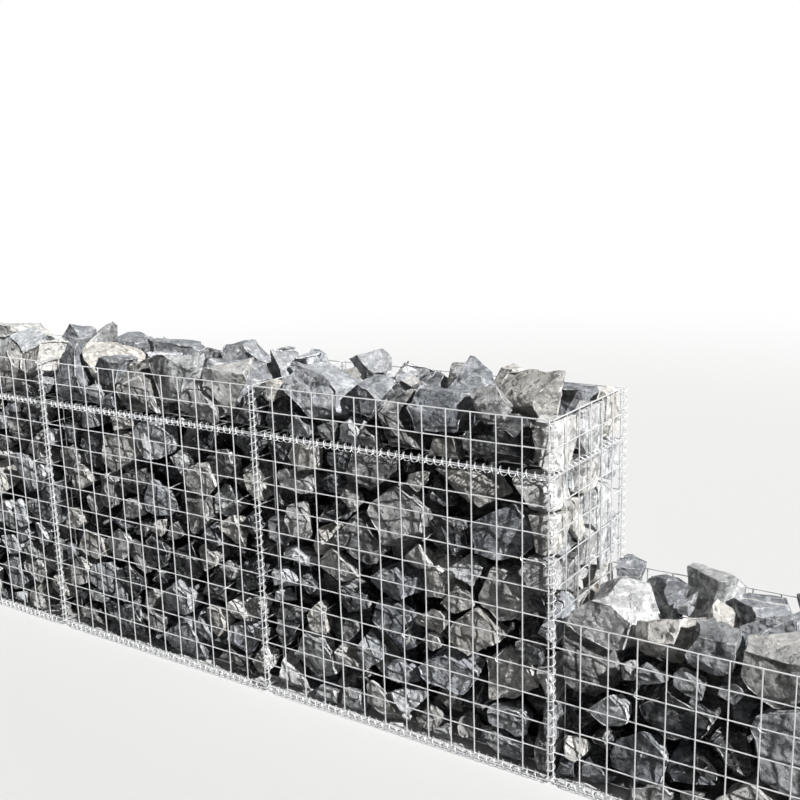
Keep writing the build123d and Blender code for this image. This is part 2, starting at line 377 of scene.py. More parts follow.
def giveAt(point):
    # 0 at the joints, the ends and the ground, 1 well inside a panel
    spread = 0.16
    nearest = min(abs(point.x - place) for place in jointPlaces)
    return min(1.0, (nearest / spread) ** 1.5, 0.3 + 0.7 * point.z / spread)


def newLines():
    return {"points": [], "edges": [], "give": []}


def addPoints(lines, points):
    # A row of points, joined by edges
    first = len(lines["points"])
    lines["points"] += points
    lines["give"] += [giveAt(point) for point in points]
    lines["edges"] += [(index, index + 1) for index in range(first, first + len(points) - 1)]


def addLine(lines, start, end, step):
    # A straight line as a row of short edges
    count = max(1, round((end - start).length / step))
    addPoints(lines, [start.lerp(end, index / count) for index in range(count + 1)])


def linesMesh(name, lines):
    mesh = bpy.data.meshes.new(name)
    mesh.from_pydata(lines["points"], lines["edges"], [])
    give = mesh.attributes.new("give", "FLOAT", "POINT")
    give.data.foreach_set("value", lines["give"])
    return mesh


def gridPlaces(low, high):
    # Wires one cell apart between the first and the last
    first = low + wireRadius
    count = round((high - wireRadius - first) / layout["cell"])
    return [first + (high - wireRadius - first) * index / count for index in range(count + 1)]


def addPanel(lines, node, wide, outward):
    # An upright panel: upright wires on its outer side, the others behind them
    low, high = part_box(node)
    thin = 1 - wide
    places = (low[thin] + wireRadius, high[thin] - wireRadius)
    innerPlace, outerPlace = places if outward > 0 else places[::-1]
    step = layout["cell"] / 2
    for place in gridPlaces(low[wide], high[wide]):
        start, end = Vector((0, 0, low.z)), Vector((0, 0, high.z))
        for point in (start, end):
            point[wide], point[thin] = place, outerPlace
        addLine(lines, start, end, step)
    for height in gridPlaces(low.z, high.z):
        start, end = Vector((0, 0, height)), Vector((0, 0, height))
        start[wide], end[wide] = low[wide], high[wide]
        start[thin] = end[thin] = innerPlace
        addLine(lines, start, end, step)


def addLyingPanel(lines, centre, low, high, acrossPlaces):
    # Cross wires below at mid-cell and along both ends, the long wires on them
    halfLength = bayCentres[0] - low.x - wireRadius
    cells = round(2 * halfLength / layout["cell"])
    inner = [centre + layout["cell"] * (index - (cells - 1) / 2) for index in range(cells)]
    lowHeight = low.z + wireRadius
    for x in (centre - halfLength, *inner, centre + halfLength):
        addLine(lines, Vector((x, low.y, lowHeight)), Vector((x, high.y, lowHeight)), layout["cell"])
    for y in acrossPlaces:
        start = Vector((centre - halfLength - wireRadius, y, high.z - wireRadius))
        end = Vector((centre + halfLength + wireRadius, y, high.z - wireRadius))
        addLine(lines, start, end, layout["cell"])


def settlePiece(piece, nodes):
    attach(piece, "root")
    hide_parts(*nodes)


wireTree = makeWireTree("drawn_wire", meshMaterial)


def finishWires(name, lines, nodes, bow=1.0):
    values = {**drawnWire, "Bow": tuple(bow * amount for amount in drawnWire["Bow"])}
    piece = grown(name, linesMesh(name, lines), wireTree, values)
    settlePiece(piece, nodes)


def makePanels():
    for piece, nodes, outward in (("front_panels", frontNodes, -1), ("back_panels", backNodes, 1)):
        lines = newLines()
        for name in nodes:
            addPanel(lines, name, 0, outward)
        finishWires(piece, lines, nodes)
    lines = newLines()
    addPanel(lines, "left_end_mesh", 1, -1)
    rightwardNodes = [*dividerNodes, "step_mesh", "right_end_mesh"]
    for name in rightwardNodes:
        addPanel(lines, name, 1, 1)
    finishWires("cross_panels", lines, ["left_end_mesh", *rightwardNodes])


def makeLyingPanels():
    # The shelf's last wire is nearer to its neighbour, and the base lies flat on the ground
    low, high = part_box("shelf_mesh")
    first, last = low.y + wireRadius, high.y - wireRadius
    count = int((last - first) / layout["cell"]) + 1
    places = [first + layout["cell"] * index for index in range(count)]
    lines = newLines()
    for centre in bayCentres[:tallBays]:
        addLyingPanel(lines, centre, low, high, [*places, last])
    finishWires("shelf_panels", lines, ["shelf_mesh"], bow=0.4)

    low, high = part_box("base_mesh_tall")
    lines = newLines()
    for centre in bayCentres:
        addLyingPanel(lines, centre, low, high, gridPlaces(low.y, high.y))
    finishWires("base_panels", lines, ["base_mesh_tall", "base_mesh_low"], bow=0.0)


# Stay wires: they come out beside a crossing of the mesh and are bent round its upright wire
stayHooks = {
    "seed": 5,
    "every": 4,             # cells between hooks along a row
    "rows": (4, 8),         # rows of the mesh with hooks, from the bottom
    "thickness": 0.003,
    "twist": 0.4,           # radians at most, either way
    # Points of the bend, in millimetres along the panel, up it and out of it
    "bend": ((-7, 10, -60), (-6, 7, -22), (-7, 4, -3), (-5, 2, 4),
             (0, -1, 6), (5, -4, 4), (7, -7, -3), (11, -13, -14)),
}


def makeStayHooks():
    lines = newLines()
    draw = random.Random(stayHooks["seed"])
    for low, high in bayBoxes:
        columns = gridPlaces(low.x, high.x)
        rows = gridPlaces(low.z, high.z)
        for row in stayHooks["rows"]:
            if row >= len(rows) - 1:
                continue
            for column in range(2 + row % 3, len(columns) - 1, stayHooks["every"]):
                for side in (-1, 1):
                    crossing = Vector((columns[column], side * outerFace, rows[row]))
                    turn = Matrix.Rotation(draw.uniform(-stayHooks["twist"], stayHooks["twist"]), 3, "Y")
                    mirror = draw.choice((-1, 1))
                    points = []
                    for along, up, out in stayHooks["bend"]:
                        offset = turn @ Vector((mirror * along, side * out, up)) / 1000
                        points.append(crossing + offset)
                    addPoints(lines, points)
    values = {**drawnWire, "Wire Radius": stayHooks["thickness"] / 2}
    piece = grown("stay_hooks", linesMesh("stay_hooks", lines), wireTree, values)
    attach(piece, "root")


makePanels()
makeLyingPanels()
makeStayHooks()
print("mesh panels made")


# Lacing coils: one helix of wire, a little uneven from turn to turn
lacingCoil = {
    "Coil Radius": 0.0118,
    "Wire Radius": layout["coilWire"] / 2,
    "Sides": 5,
    "Pitch": coilPitch,
    "Steps Per Turn": 10,
    "Looseness": 0.0022,
    "Wave Scale": 28.0,
}
coilWinding = {
    "looseCorner": 3.2,     # how much looser the step's back corner is
    "baseAngle": -73.0,     # degrees, of the base coils at each upright wire
}


def makeCoilTree(name, material):
    tree, source, result = startTree(name, {**lacingCoil, "Length": 0.0, "Start Angle": 0.0, "Seed": 0.0})
    length, pitch = source.outputs["Length"], source.outputs["Pitch"]
    top = addNode(tree, "ShaderNodeCombineXYZ", Z=length).outputs[0]
    axis = addNode(tree, "GeometryNodeCurvePrimitiveLine", End=top)
    turns = mathNode(tree, "DIVIDE", length, pitch)
    count = mathNode(tree, "ADD", mathNode(tree, "MULTIPLY", turns, source.outputs["Steps Per Turn"]), 1.0)
    points = addNode(tree, "GeometryNodeResampleCurve", Curve=axis.outputs[0], Count=count)
    along = addNode(tree, "GeometryNodeSplineParameter").outputs["Length"]
    angle = mathNode(tree, "MULTIPLY", mathNode(tree, "DIVIDE", along, pitch), math.tau)
    angle = mathNode(tree, "ADD", angle, source.outputs["Start Angle"])
    radius = source.outputs["Coil Radius"]
    across = mathNode(tree, "MULTIPLY", mathNode(tree, "COSINE", angle), radius)
    outward = mathNode(tree, "MULTIPLY", mathNode(tree, "SINE", angle), radius)
    turn = addNode(tree, "ShaderNodeCombineXYZ", X=across, Y=outward, Z=along).outputs[0]
    wander = scaledNode(tree, waveNode(tree, source, Vector=turn), source.outputs["Looseness"])
    wound = addNode(tree, "GeometryNodeSetPosition", Geometry=points.outputs[0],
                    Position=vectorNode(tree, "ADD", turn, wander))
    wrapWire(tree, source, result, wound, material)
    return tree


coilTree = makeCoilTree("lacing_coil", coilMaterial)


def coilMesh(start, xWay, zWay, length, startAngle, seed, looseness=1.0):
    # One coil's mesh, in place: it runs from start along zWay, and its angle is counted from xWay
    values = {**lacingCoil, "Length": length, "Start Angle": startAngle, "Seed": float(seed)}
    values["Looseness"] *= looseness
    piece = grown("coil", bpy.data.meshes.new("coil"), coilTree, values)
    mesh = piece.data
    zWay, xWay = Vector(zWay), Vector(xWay)
    mesh.transform(Matrix.Translation(start) @ Matrix((xWay, zWay.cross(xWay), zWay)).transposed().to_4x4())
    bpy.data.objects.remove(piece)
    return mesh


def joinMeshes(name, meshes):
    joined = bmesh.new()
    for mesh in meshes:
        joined.from_mesh(mesh)
    result = bpy.data.meshes.new(name)
    joined.to_mesh(result)
    joined.free()
    result.materials.append(coilMaterial)
    return placed(name, result)


def makeStandingCoils():
    # Front and back at each joint: the turns stand outermost at each row of wires
    meshes = []
    for number, node in enumerate(coilNodes):
        low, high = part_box(node)
        length = high.z - low.z
        startAngle = (low.z - lowestWire) / coilPitch * math.tau
        for side in (-1, 1):
            looseness = coilWinding["looseCorner"] if number == tallBays and side > 0 else 1.0
            start = Vector((jointPlaces[number], side * outerFace, low.z))
            seed = 10 * number + side
            meshes.append(coilMesh(start, (0, side, 0), (0, 0, 1), length, startAngle, seed, looseness))
    settlePiece(joinMeshes("standing_coils", meshes), coilNodes)


def layCoils(kind, bays, markAngle, seed):
    # Along the front and the back of each bay: angle 0 points into the wall
    meshes = []
    for place, side in (("front", -1), ("back", 1)):
        low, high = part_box(f"{kind}_coils_{place}")
        reach = bayCentres[0] - low.x
        for number in bays:
            first = bayBoxes[number][0].x + wireRadius
            begin = bayCentres[number] + side * reach
            mark = first if side < 0 else 2 * bayCentres[number] - first
            startAngle = markAngle + side * (mark - begin) / coilPitch * math.tau
            start = Vector((begin, (low.y + high.y) / 2, (low.z + high.z) / 2))
            ownSeed = seed + number + (20 if side > 0 else 0)
            meshes.append(coilMesh(start, (0, -side, 0), (-side, 0, 0), 2 * reach, startAngle, ownSeed))
    return meshes


def makeLyingCoils():
    meshes = layCoils("shelf", range(tallBays), 0.0, 100)
    frontLow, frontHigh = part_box("shelf_coils_front")
    reach = frontHigh.y - frontLow.y
    low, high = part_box("shelf_coils_ends")
    # A turn stands inward at each upright wire
    startAngle = -(high.y - 3 * layout["cell"]) / coilPitch * math.tau
    for side, x in ((-1, low.x + reach / 2), (1, high.x - reach / 2)):
        start = Vector((x, -side * high.y, shelfHeight))
        meshes.append(coilMesh(start, (-side, 0, 0), (0, side, 0), 2 * high.y, startAngle, 140 + side))
    settlePiece(joinMeshes("shelf_coils", meshes),
                ["shelf_coils_front", "shelf_coils_back", "shelf_coils_ends"])
    angle = math.radians(coilWinding["baseAngle"])
    meshes = layCoils("base", range(len(bayCentres)), angle, 160)
    settlePiece(joinMeshes("base_coils", meshes), ["base_coils_front", "base_coils_back"])


makeStandingCoils()
makeLyingCoils()
print("lacing coils made")


# Stones: seeds pushed apart in each compartment, and a rough cell round each
pile = {
    "seed": 11,
    "smallHalf": 0.056,          # half the usual size of the small stones, in metres
    "bigHalf": 0.092,            # the same for the stones on top
    "lowBayBig": 0.90,           # the low bays' top stones, set against those
    "growFrom": 0.20,            # height where the low bays' stones begin to grow, and how far up
    "growOver": 0.20,
    "spread": 0.34,              # how much the sizes vary
    "sizes": (0.55, 1.7),        # smallest and biggest, set against the usual size
    "packing": 0.60,             # share of the space that the seeds' balls take
    "seedsAbove": 0.035,         # how far above the rim the seeds reach
    "pushRounds": 14,
    "pushShare": 0.35,           # how much of an overlap is pushed away in a round
    "wallRoom": 0.62,            # nearest that a middle comes to a wall, in half sizes
    "chips": 2100,               # tries at dropping a small stone into a hole, in each cubic metre
    "chipHalf": (0.028, 0.046),
    "bedChips": 0.040,           # one try for each of these lengths along the foot of both sides
    "topChips": 1500,            # tries just under the rim, in each square metre
    "topChipDepth": (0.02, 0.13),
    "length": (1.05, 1.85),      # a stone's proportions
    "width": (0.85, 1.20),
    "height": (0.52, 0.90),
    "topFlat": 0.80,             # how much flatter the stones on top are
    "lean": 0.50,                # radians, in the pile and on top
    "topLean": 0.11,
    "topTilt": 0.13,             # the same for the upper sides of the heap's stones
    "gap": (0.004, 0.025),       # between neighbouring stones
    "topGap": 2.6,               # how much wider it is between the stones on top
    "setBack": 0.030,            # how far a stone may stand back from the mesh
    "ownFaces": 8,
    "ownReach": (0.80, 1.30),    # how far out these faces lie, set against the proportions
    "topReach": (0.80, 1.15),
    "rimReach": (0.92, 1.35),
    "thinnest": 0.026,           # slivers under this are left out
    "edge": (0.0016, 0.0050),    # width of the broken edges
    "fineEdge": 0.027,           # longest triangle side on a stone that shows
    "rough": 0.0095,             # depth of the uneven faces
    "hiddenDepth": 0.055,        # stones that lie all deeper than this don't show
    # Painted shade: stones whose middle lies deeper than this get a darker tone, so that the gaps between
    # the stones look darker
    "innerDepth": 0.085,         # stones with their middle deeper than this are darker
    "paintedInnerShade": 0.35,
    "tone": (0.44, 0.30),        # the usual tone from 0 to 1, and how much it varies
    # Painted light: the stones on top are kept at least this pale, for the light that falls on the heap
    "paintedLightTopTone": 0.32,             # darkest tone on top
    "topLow": 0.024,             # top of the heap above the rim, lowest and highest
    "topHigh": 0.100,
    "crown": 0.45,               # how much lower the heap is along the faces
    "rimStep": 1.60,             # spacing of the stones along the rim, in half sizes
    "rimBand": 0.085,            # depth of that row
    "rimEnd": 0.06,              # where it begins beside an end panel
    # Flat stones stood against an end panel: first their height, width and thickness
    "endCourse": (0.085, 0.165),
    "endWidth": (0.080, 0.200),
    "endThick": (0.045, 0.080),
    "endLeast": 0.045,           # a rest smaller than this goes to the last stone
    "endShift": 0.018,           # how far a stone stands off its course, up or down
    "endLean": 0.16,
    "endGap": 0.5,               # gaps between them, set against the usual ones
    "endSetBack": 0.05,          # the same for how far they stand back
    "endReach": (1.32, 1.95),
    "endRough": 0.30,
    # Painted light: the stones against the end panels are made paler, for the sun on the step face
    "paintedLightEndTone": 0.66,
    "endVary": 0.5,              # how much their tones vary, set against the others
    "coilRoom": 0.0150,          # from a coil's axis to the stones
}


def compartmentWalls(low, high, number, hasTop):
    # Flat limits as (normal, distance): the mesh's inner faces, and a bevel along each coil
    sides = [
        (Vector((1, 0, 0)), high.x),
        (Vector((-1, 0, 0)), -low.x),
        (Vector((0, 1, 0)), high.y),
        (Vector((0, -1, 0)), -low.y),
        (Vector((0, 0, -1)), -low.z),
    ]
    if hasTop:
        sides.append((Vector((0, 0, 1)), high.z))
    coils = []
    for xWay, joint in ((-1, jointPlaces[number]), (1, jointPlaces[number + 1])):
        for yWay in (-1, 1):
            coils.append((Vector((xWay, yWay, 0)), Vector((joint, yWay * outerFace, 0))))
    shelfLow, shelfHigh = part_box("shelf_coils_back")
    baseLow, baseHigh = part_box("base_coils_back")
    for yWay in (-1, 1):
        shelfAxis = Vector((0, yWay * (shelfLow.y + shelfHigh.y) / 2, shelfHeight))
        baseAxis = Vector((0, yWay * (baseLow.y + baseHigh.y) / 2, (baseLow.z + baseHigh.z) / 2))
        if low.z < lowestWire:
            coils.append((Vector((0, yWay, -1)), baseAxis))
        if hasTop:
            coils.append((Vector((0, yWay, 1)), shelfAxis))
        elif low.z > lowestWire:
            coils.append((Vector((0, yWay, -1)), shelfAxis))
    for way, point in coils:
        normal = way.normalized()
        sides.append((normal, normal.dot(point) - pile["coilRoom"]))
    return sides


def lineEnd(low, high, way, draw):
    # Flat stones stood against an end panel, in courses from corner to corner
    lining = []
    least, shift = pile["endLeast"], pile["endShift"]
    level = low.z
    while high.z - level > least:
        course = draw.uniform(*pile["endCourse"])
        if high.z - level - course < least:
            course = high.z - level
        across = low.y
        while high.y - across > least:
            width = draw.uniform(*pile["endWidth"])
            if high.y - across - width < least:
                width = high.y - across
            thick = draw.uniform(*pile["endThick"])
            half = (width + course) / 4
            x = high.x - thick / 2 if way > 0 else low.x + thick / 2
            middle = Vector((x, across + width / 2, level + course / 2 + draw.uniform(-shift, shift)))
            lining.append([middle, half, Vector((thick, width, course)) / 2 / half])
            across += width
        level += course
    return lining


def halfAt(kind, height):
    # Half the usual size of a stone: in the low bays they grow from small ones to big ones on top
    if kind == "lower":
        return pile["smallHalf"]
    if kind == "upper":
        return pile["bigHalf"]
    share = min(1.0, max(0.0, (height - pile["growFrom"]) / pile["growOver"]))
    return pile["smallHalf"] * (1 - share) + pile["lowBayBig"] * pile["bigHalf"] * share


def lineRim(low, high, rim, kind, endWays, draw):
    # Stones set close along the rim, front and back: one course of them where the shelf is near
    rimStones = []
    begin = low.x + (pile["rimEnd"] if -1 in endWays else 0.0)
    end = high.x - (pile["rimEnd"] if 1 in endWays else 0.0)
    for side in (-1, 1):
        x = begin
        while end - x > 0.05:
            half = halfAt(kind, rim) * draw.uniform(0.80, 1.20)
            width = min(pile["rimStep"] * half, end - x)
            y = side * (innerFace - draw.uniform(0.50, 0.75) * half)
            z = max(rim - draw.uniform(0.1, 0.7) * half, low.z + 0.5 * half)
            if rim - low.z < 2.5 * half:
                z = (low.z + rim) / 2 + draw.uniform(0.005, 0.035)
            rimStones.append([Vector((x + width / 2, y, z)), half, None])
            x += width
    return rimStones


def scatterSeeds(low, high, kind, lining, rimStones, draw):
    # Random balls up to the packing share, then pushed apart until they hardly overlap: the lining stays
    size = high - low
    seeds = lining + rimStones
    taken = sum(3 * half ** 3 for _, half, _ in seeds)
    room = size.x * size.y * size.z * pile["packing"] - taken
    smallest, biggest = pile["sizes"]
    while room > 0:
        point = Vector([draw.uniform(low[axis], high[axis]) for axis in range(3)])
        share = draw.lognormvariate(0, pile["spread"])
        half = halfAt(kind, point.z) * min(biggest, max(smallest, share))
        seeds.append([point, half, None])
        room -= 4 / 3 * math.pi * half ** 3
    for turn in range(pile["pushRounds"]):
        pushSeeds(seeds, low, high, len(lining))
    return seeds


def pushSeeds(seeds, low, high, fixed):
    # One round: each pair that overlaps moves apart, and the first ones stay as fixed
    tree = treeOf([point for point, _, _ in seeds])
    biggest = max(half for _, half, _ in seeds)
    moves = [Vector() for seed in seeds]
    for index, (point, half, _) in enumerate(seeds):
        for other, otherIndex, distance in tree.find_range(point, half + biggest):
            overlap = half + seeds[otherIndex][1] - distance
            if otherIndex > index and overlap > 0 and distance > 0:
                push = (point - other).normalized() * overlap * pile["pushShare"]
                moves[index] += push
                moves[otherIndex] -= push
    for (point, half, _), move in list(zip(seeds, moves))[fixed:]:
        margin = half * pile["wallRoom"]
        for axis in range(3):
            middle = (low[axis] + high[axis]) / 2
            lowLimit = min(middle, low[axis] + margin)
            highLimit = max(middle, high[axis] - margin)
            point[axis] = min(highLimit, max(lowLimit, point[axis] + move[axis]))


def treeOf(points):
    tree = kdtree.KDTree(len(points))
    for index, point in enumerate(points):
        tree.insert(point, index)
    tree.balance()
    return tree


def dropChips(stones, low, high, hasTop, draw):
    # Small stones in the holes that the others leave
    least, most = pile["chipHalf"]
    size = high - low
    tries = []
    for turn in range(int(pile["chips"] * size.x * size.y * size.z)):
        point = Vector([draw.uniform(low[axis] + least, high[axis] - least) for axis in range(3)])
        if turn % 2:
            axis = draw.randrange(3)
            point[axis] = draw.choice((low[axis] + 1.1 * least, high[axis] - 1.1 * least))
        tries.append(point)
    for turn in range(int(size.x / pile["bedChips"])):
        for y in (low.y + 1.2 * least, high.y - 1.2 * least):
            tries.append(Vector((draw.uniform(low.x, high.x), y, low.z + 0.7 * least)))
    for turn in range(0 if hasTop else int(pile["topChips"] * size.x * size.y)):
        x = draw.uniform(low.x + least, high.x - least)
        y = draw.uniform(low.y + least, high.y - least)
        tries.append(Vector((x, y, high.z - draw.uniform(*pile["topChipDepth"]))))
    tree = treeOf([stone["middle"] for stone in stones])
    reach = 1.5 * max(stone["half"] for stone in stones) + most
    chips = []
    for point in tries:
        room = most
        for other, index, distance in tree.find_range(point, reach):
            way = (point - other) / max(distance, 0.001)
            room = min(room, distance - reachTowards(stones[index], way))
        room = min([room] + [(point - other).length - 0.92 * half for other, half, _ in chips])
        if room > least:
            chips.append([point, room, None])
    return chips


def stretchOf(draw, onTop):
    # A stone's proportions and how it lies: those on top are flatter and lie level
    angle = draw.uniform(0, math.tau)
    tip = draw.gauss(0, pile["topLean" if onTop else "lean"])
    lean = Quaternion((math.cos(angle), math.sin(angle), 0), tip)
    proportions = Vector([draw.uniform(*pile[key]) for key in ("length", "width", "height")])
    if onTop:
        proportions.z *= pile["topFlat"]
    return lean @ Quaternion((0, 0, 1), angle), proportions


def reachTowards(stone, way):
    # Distance from a stone's middle to the outside of its rough ellipsoid
    local = stone["turn"].inverted() @ way
    shape = stone["shape"]
    return stone["half"] / math.sqrt(sum((local[axis] / shape[axis]) ** 2 for axis in range(3)))


def gapBetween(stone, other):
    # The same from either stone: wide on top, narrower along the rim and against an end panel
    first, second = stone["index"], other["index"]
    gap = random.Random(first * second * 7 + first + second).uniform(*pile["gap"])
    if stone["onTop"] and other["onTop"] and not (stone["atRim"] and other["atRim"]):
        gap *= pile["topGap"]
    elif stone["lined"] and other["lined"]:
        gap *= pile["endGap"]
    return gap


def ownReach(stone):
    # Range for the distance of a stone's own faces
    if stone["lined"]:
        return pile["endReach"]
    if stone["atRim"]:
        return pile["rimReach"]
    return pile["topReach" if stone["onTop"] else "ownReach"]


def stonePlanes(stone, stones, tree, biggest, walls, topLimit, draw):
    # Limits of one stone, as planes round its own middle
    planes = []
    middle, half, lined = stone["middle"], stone["half"], stone["lined"]
    setBack = pile["setBack"] * draw.random() ** 2 * (pile["endSetBack"] if lined else 1.0)
    for other, index, distance in tree.find_range(middle, 2.6 * (half + biggest) / 2):
        if distance > 0:
            way = (other - middle) / distance
            mine = reachTowards(stone, way)
            theirs = reachTowards(stones[index], -way)
            planes.append((way, distance * mine / (mine + theirs) - gapBetween(stone, stones[index]) / 2))
    for normal, limit in walls:
        distance = limit - normal.dot(middle)
        if distance > 2.5 * half:
            continue
        if normal.z < -0.99:                     # stones lie flat on what is under them
            planes.append((normal, distance))
            continue
        distance = max(0.4 * half, distance - setBack)
        planes.append((normal, distance))
        tilt = Vector((draw.gauss(0, 1), draw.gauss(0, 1), draw.gauss(0, 1))) * draw.uniform(0.12, 0.42)
        if lined:
            sway = 0.05 if abs(normal.y) > 0.9 else 0.25
            planes.append(((normal + sway * tilt).normalized(), distance * draw.uniform(1.0, 1.05)))
        else:
            planes.append(((normal + tilt).normalized(), distance * draw.uniform(0.8, 1.0)))
    if topLimit is not None:
        slope = pile["topTilt"]
        tilt = Vector((draw.gauss(0, slope), draw.gauss(0, slope), 1)).normalized()
        planes.append((tilt, max(0.3 * half, topLimit - middle.z)))
    count = pile["ownFaces"]
    reach = ownReach(stone)
    for index in range(count):
        height = 1 - 2 * (index + draw.uniform(0.1, 0.9)) / count
        angle = index * 2.4 + draw.uniform(-0.7, 0.7)      # about the golden angle from face to face
        ring = math.sqrt(1 - height * height)
        way = stone["turn"] @ Vector((ring * math.cos(angle), ring * math.sin(angle), height))
        planes.append((way, reachTowards(stone, way) * draw.uniform(*reach)))
    return planes


def stoneHull(planes):
    # The convex stone inside its planes, or nothing where they leave no room
    limits = [(*normal, -distance) for normal, distance in planes]
    kept = []
    for corner in geometry.points_in_planes(limits, 1e-5, 1e-7)[0]:
        if all((corner - other).length > 0.003 for other in kept):
            kept.append(corner)
    if len(kept) < 6:
        return None
    if min(max(places) - min(places) for places in zip(*kept)) < pile["thinnest"]:
        return None
    stone = bmesh.new()
    for corner in kept:
        stone.verts.new(corner)
    hull = bmesh.ops.convex_hull(stone, input=stone.verts)
    spare = hull["geom_interior"] + hull["geom_unused"]
    loose = [item for item in spare if isinstance(item, bmesh.types.BMVert)]
    bmesh.ops.delete(stone, geom=list(set(loose)), context="VERTS")
    bmesh.ops.dissolve_limit(stone, angle_limit=math.radians(5), verts=stone.verts, edges=stone.edges)
    return stone


def finishStone(hull, stone, shows, draw):
    # Broken edges, then finer triangles and uneven faces on the stones that show
    wear = hull.faces.layers.float.new("edgeWear")
    if shows:
        edge = draw.uniform(*pile["edge"])
        made = bmesh.ops.bevel(hull, geom=list(hull.edges), offset=edge, offset_type="OFFSET", segments=1,
                               profile=0.5, affect="EDGES", clamp_overlap=True)
        for face in made["faces"]:
            face[wear] = 1.0
    bmesh.ops.triangulate(hull, faces=hull.faces)
    if not shows:
        return
    for turn in range(2):
        longEdges = [edge for edge in hull.edges if edge.calc_length() > pile["fineEdge"]]
        if longEdges:
            bmesh.ops.subdivide_edges(hull, edges=longEdges, cuts=1)
            bmesh.ops.triangulate(hull, faces=[face for face in hull.faces if len(face.verts) > 3])
    hull.normal_update()
    half = stone["half"]
    shift = Vector((draw.uniform(-9, 9), draw.uniform(-9, 9), draw.uniform(-9, 9)))
    flatness = pile["endRough"] if stone["lined"] else 1.0
    depth = flatness * pile["rough"] * min(1.6, half / pile["smallHalf"])
    for vertex in hull.verts:
        place = vertex.co / half
        dip = 0.5 + 0.6 * noise.noise(place * 1.7 + shift) + 0.4 * noise.noise(place * 4.1 - shift)
        vertex.co -= vertex.normal * depth * max(0.0, dip)


def addStones(stones, seeds, rim, draw):
    # Seeds turned into stones: those with a shape given are the lining of an end panel
    for point, half, shape in seeds:
        stone = {"index": len(stones), "middle": point, "half": half, "lined": shape is not None}
        stone["onTop"] = rim is not None and point.z > rim - 0.7 * half
        stone["atRim"] = stone["onTop"] and abs(point.y) > innerFace - pile["rimBand"]
        if shape is None:
            stone["turn"], stone["shape"] = stretchOf(draw, stone["onTop"])
        else:
            stone["turn"] = Quaternion((1, 0, 0), draw.gauss(0, pile["endLean"]))
            stone["shape"] = shape
        stones.append(stone)


def heapTop(stone, rim, draw):
    # Height that a stone of the heap may reach
    crown = 0.0 if stone["lined"] else 1 - pile["crown"] * (stone["middle"].y / innerFace) ** 2
    rise = crown * draw.uniform(pile["topLow"], pile["topHigh"])
    return rim + rise + draw.uniform(-0.01, 0.01)


def toneOf(stone, depth, draw):
    # From 0, dark, to 1, pale: a random tone, with painted shade on stones deep inside and painted light on
    # stones on top and against the end panels
    usual, spread = pile["tone"]
    tone = draw.gauss(usual, spread)
    # Painted light: stones against the end panels are made paler
    if stone["lined"]:
        tone = pile["paintedLightEndTone"] + pile["endVary"] * (tone - usual)
    # Painted light: stones on top are kept pale
    elif stone["onTop"]:
        tone = max(pile["paintedLightTopTone"], tone)
    # Painted shade: stones deep inside are darkened
    elif depth > pile["innerDepth"]:
        tone -= pile["paintedInnerShade"]
    return min(1.0, max(0.0, tone))


def addHull(heap, hull, middle, tone):
    first = len(heap["points"])
    wear = hull.faces.layers.float["edgeWear"]
    hull.verts.index_update()
    heap["points"] += [vertex.co + middle for vertex in hull.verts]
    for face in hull.faces:
        heap["faces"].append([first + vertex.index for vertex in face.verts])
        heap["stoneToneAndPaintedLight"].append(tone)
        heap["edgeWear"].append(face[wear])
    hull.free()


def heapMesh(name, heap):
    mesh = bpy.data.meshes.new(name)
    mesh.from_pydata(heap["points"], [], heap["faces"])
    for key in ("stoneToneAndPaintedLight", "edgeWear"):
        mesh.attributes.new(key, "FLOAT", "FACE").data.foreach_set("value", heap[key])
    mesh.polygons.foreach_set("use_smooth", [True] * len(heap["faces"]))
    mesh.set_sharp_from_angle(angle=math.radians(24))
    mesh.materials.append(stoneMaterial)
    return mesh


def fillCompartment(kind, place, number, draw):
    # All the stones of one compartment, as one piece: those under a shelf have a top
    hasTop = kind == "lower"
    name, node = f"{kind}_stones_{place}", f"{kind}_fill_{place}"
    low, high = (corner.copy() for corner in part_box(node))
    low.y, high.y = -innerFace, innerFace
    seedHigh, chipHigh = high.copy(), high.copy()
    rim = None
    if not hasTop:
        rim = bayRims[number]
        seedHigh.z = rim + pile["seedsAbove"]
        chipHigh.z = rim + 0.01
    endWays = [-1] if number == 0 else []
    if number in (tallBays - 1, len(bayCentres) - 1):
        endWays.append(1)
    lining = [seed for way in endWays for seed in lineEnd(low, seedHigh, way, draw)]
    rimStones = [] if hasTop else lineRim(low, high, rim, kind, endWays, draw)
    stones = []
    addStones(stones, scatterSeeds(low, seedHigh, kind, lining, rimStones, draw), rim, draw)
    addStones(stones, dropChips(stones, low, chipHigh, hasTop, draw), rim, draw)
    walls = compartmentWalls(low, high, number, hasTop)
    tree = treeOf([stone["middle"] for stone in stones])
    biggest = max(stone["half"] for stone in stones)
    heap = {"points": [], "faces": [], "stoneToneAndPaintedLight": [], "edgeWear": []}
    for stone in stones:
        middle = stone["middle"]
        topLimit = None if hasTop else heapTop(stone, rim, draw)
        hull = stoneHull(stonePlanes(stone, stones, tree, biggest, walls, topLimit, draw))
        if hull is None:
            continue
        depth = min(high.y - middle.y, middle.y - low.y)
        for way in endWays:
            depth = min(depth, high.x - middle.x if way > 0 else middle.x - low.x)
        tone = toneOf(stone, depth, draw)
        if not hasTop:
            depth = min(depth, rim - middle.z)
        shows = depth - 0.9 * stone["half"] < pile["hiddenDepth"]
        finishStone(hull, stone, shows, draw)
        addHull(heap, hull, middle, tone)
    settlePiece(placed(name, heapMesh(name, heap)), [node])
    print(name, len(stones), "stones,", len(heap["faces"]), "triangles")


